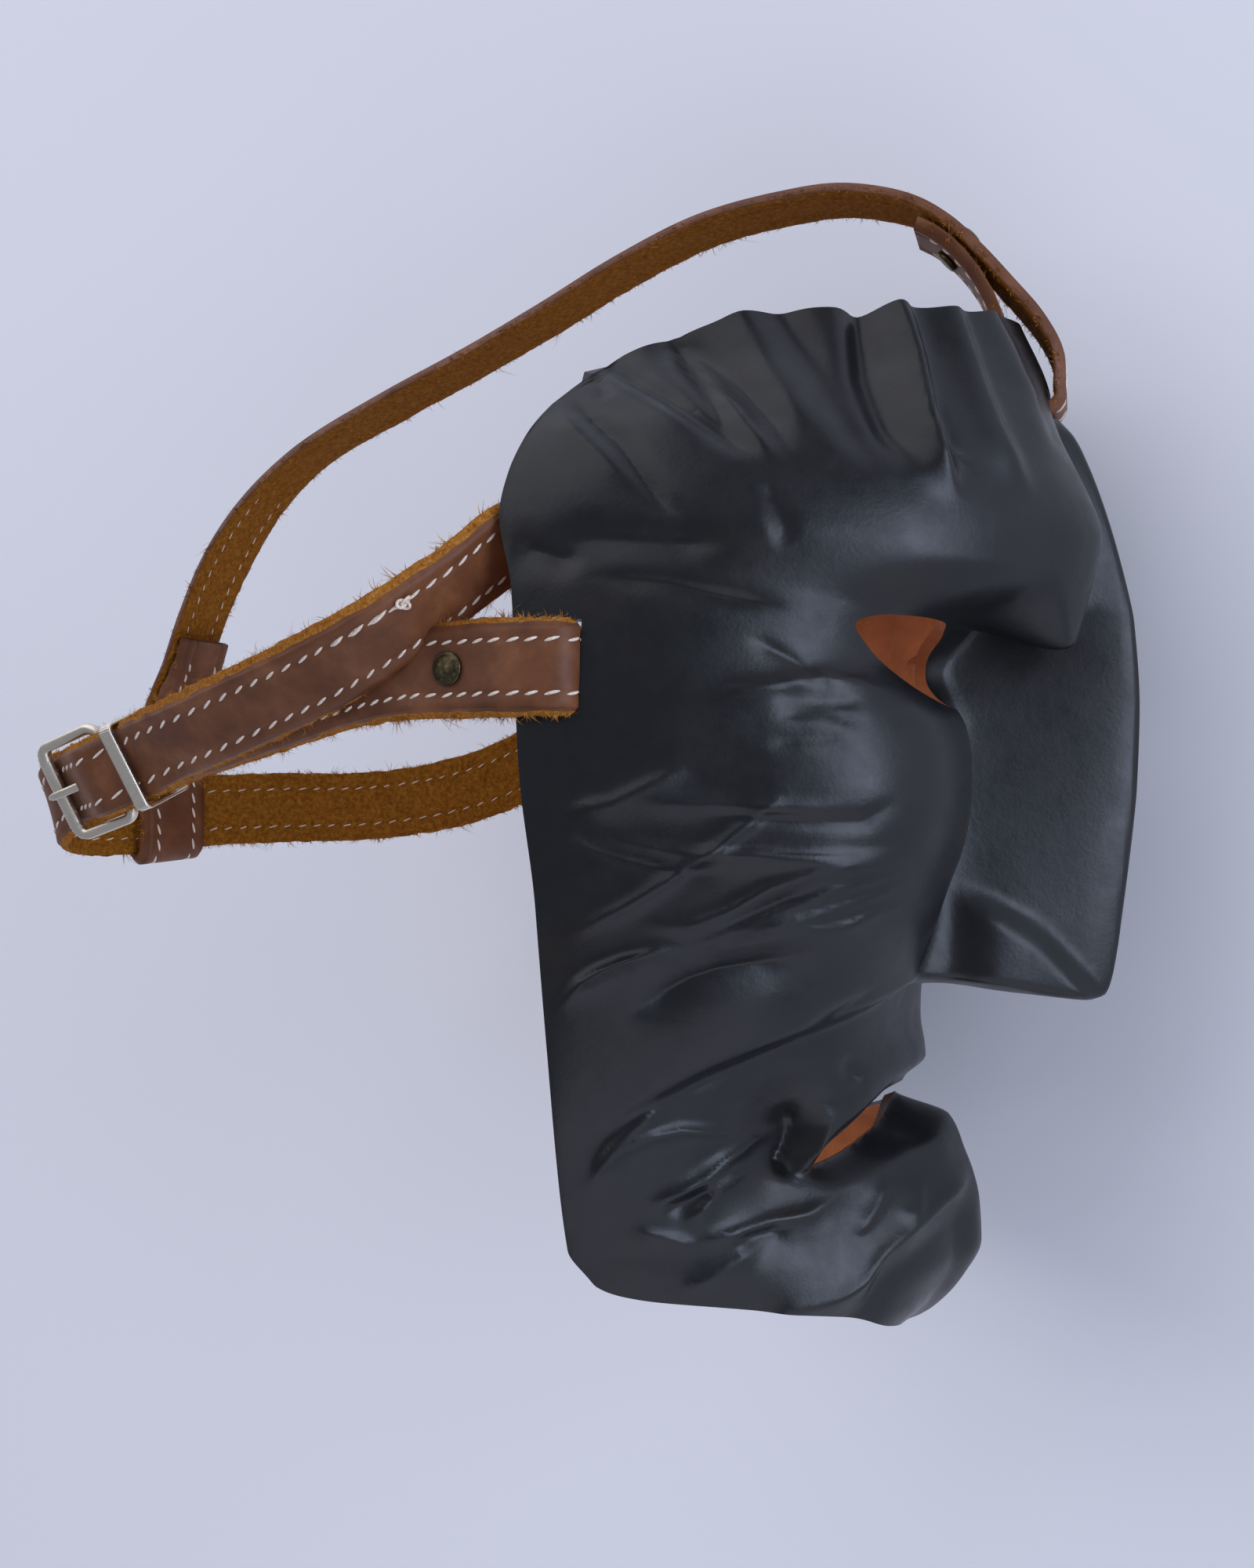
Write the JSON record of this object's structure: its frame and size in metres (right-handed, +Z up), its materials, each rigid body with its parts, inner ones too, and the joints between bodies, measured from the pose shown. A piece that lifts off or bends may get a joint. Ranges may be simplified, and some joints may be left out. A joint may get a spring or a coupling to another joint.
{
  "type": "carnival mask",
  "caption": "Grotesque face mask moulded from one black hide, with a hooked nose, heavy brow, cut eyes and mouth, and a buckled harness of stitched straps.",
  "frame": {"origin": "centre of the lying mask's bounding box, on the floor", "axes": "lying on its left cheek: +Z up, +Y towards the forehead, +X mostly towards the nose"},
  "size_m": [0.2732, 0.2878, 0.2047],
  "materials": {
    "black_hide": "black dyed grain, waxed to a soft shine",
    "brown_strap": "brown grain side, raw flesh side and cut edges",
    "nickel": "nickel plate, lightly worn",
    "dark_bronze": "darkened, satin"
  },
  "bodies": {
    "root": {"mask_shell": "black_hide", "right_strap": "brown_strap", "rear_strap": "brown_strap", "crown_strap": "brown_strap", "buckle_frame": "nickel", "buckle_prong": "nickel", "keeper": "nickel", "right_rivet": "dark_bronze", "left_rivet": "dark_bronze", "forehead_rivet": "dark_bronze", "crown_rivet": "dark_bronze"}
  },
  "joints": []
}
